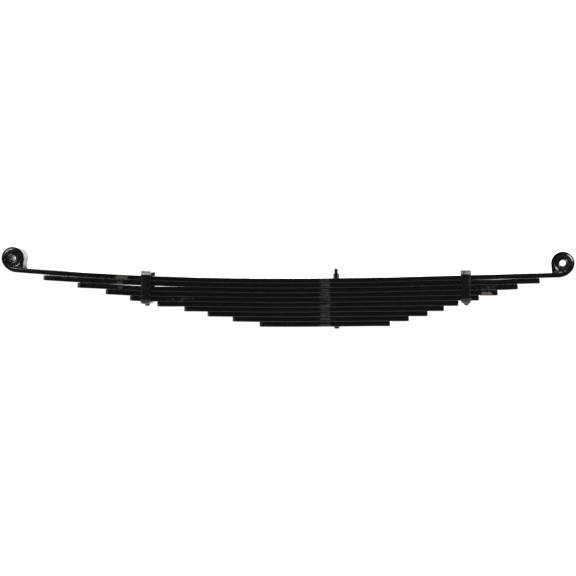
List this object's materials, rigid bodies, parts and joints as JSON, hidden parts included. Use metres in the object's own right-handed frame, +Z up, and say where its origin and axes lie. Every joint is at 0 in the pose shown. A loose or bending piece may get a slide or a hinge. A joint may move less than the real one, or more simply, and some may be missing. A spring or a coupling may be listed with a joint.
{
  "type": "multi-leaf spring",
  "caption": "Semi-elliptic leaf spring with a long and a short arm, upturned bushed eyes, rebound clips and a centre bolt that locates it on an axle seat.",
  "frame": {"origin": "on the centre bolt's axis, in the plane of the axle seat, which is the underside of the shortest leaf", "axes": "+X along the spring towards the short arm and its eye, +Y across the leaves, +Z up from the axle seat to the main leaf"},
  "size_m": [1.59, 0.089, 0.2388],
  "materials": {
    "leaf_paint": "gloss black enamel over rolled spring steel",
    "hardware_paint": "gloss black enamel over clips, rivets, bolt and nut",
    "sleeve_paint": "drawn steel tube under a thin black paint film, bare in the bore",
    "bush_rubber": "matt moulded natural rubber"
  },
  "bodies": {
    "leaf_pack": {"leaf_01_main": "leaf_paint", "leaf_02": "leaf_paint", "leaf_03": "leaf_paint", "leaf_04": "leaf_paint", "leaf_05": "leaf_paint", "leaf_06": "leaf_paint", "leaf_07": "leaf_paint", "leaf_08": "leaf_paint", "leaf_09": "leaf_paint", "leaf_10": "leaf_paint", "centre_bolt": "hardware_paint", "centre_bolt_nut": "hardware_paint"},
    "front_eye": {"front_bush_outer_sleeve": "sleeve_paint", "front_bush_rubber": "bush_rubber"},
    "rear_eye": {"rear_bush_outer_sleeve": "sleeve_paint", "rear_bush_rubber": "bush_rubber"},
    "front_clip": {"front_rebound_clip": "hardware_paint", "front_clip_rivet": "hardware_paint"},
    "rear_clip": {"rear_rebound_clip": "hardware_paint", "rear_clip_rivet": "hardware_paint"},
    "front_pin_sleeve": {"front_bush_inner_sleeve": "sleeve_paint"},
    "rear_pin_sleeve": {"rear_bush_inner_sleeve": "sleeve_paint"}
  },
  "joints": [
    {"name": "front_arm_flex", "type": "hinge", "parent": "leaf_pack", "child": "front_eye", "pos_m": [0.282, 0, 0.12994], "axis": [0, 1, 0], "range_deg": [-2, 8], "stiffness_Nm_per_rad": 37000, "deforming": ["leaf_01_main", "leaf_02", "leaf_03", "leaf_04", "leaf_05", "leaf_06", "leaf_07", "leaf_08", "leaf_09", "leaf_10"]},
    {"name": "rear_arm_flex", "type": "hinge", "parent": "leaf_pack", "child": "rear_eye", "pos_m": [-0.394, 0, 0.1338], "axis": [0, -1, 0], "range_deg": [-2, 9], "stiffness_Nm_per_rad": 25500, "deforming": ["leaf_01_main", "leaf_02", "leaf_03", "leaf_04", "leaf_05", "leaf_06", "leaf_07", "leaf_08", "leaf_09", "leaf_10"]},
    {"name": "front_clip_tilt", "type": "hinge", "parent": "leaf_pack", "child": "front_clip", "pos_m": [0.282, 0, 0.12994], "axis": [0, 1, 0], "range_deg": [-1.2, 4.7]},
    {"name": "rear_clip_tilt", "type": "hinge", "parent": "leaf_pack", "child": "rear_clip", "pos_m": [-0.394, 0, 0.1338], "axis": [0, -1, 0], "range_deg": [-1.3, 5.6]},
    {"name": "front_bush_twist", "type": "hinge", "parent": "front_eye", "child": "front_pin_sleeve", "pos_m": [0.6245, 0, 0.16713], "axis": [0, 1, 0], "range_deg": [-10, 10], "stiffness_Nm_per_rad": 350},
    {"name": "rear_bush_twist", "type": "hinge", "parent": "rear_eye", "child": "rear_pin_sleeve", "pos_m": [-0.9015, 0, 0.19934], "axis": [0, 1, 0], "range_deg": [-10, 10], "stiffness_Nm_per_rad": 350}
  ],
  "couplings": [
    {"joint": "front_clip_tilt", "follows": "front_arm_flex", "ratio": 0.5783},
    {"joint": "rear_clip_tilt", "follows": "rear_arm_flex", "ratio": 0.6061}
  ]
}
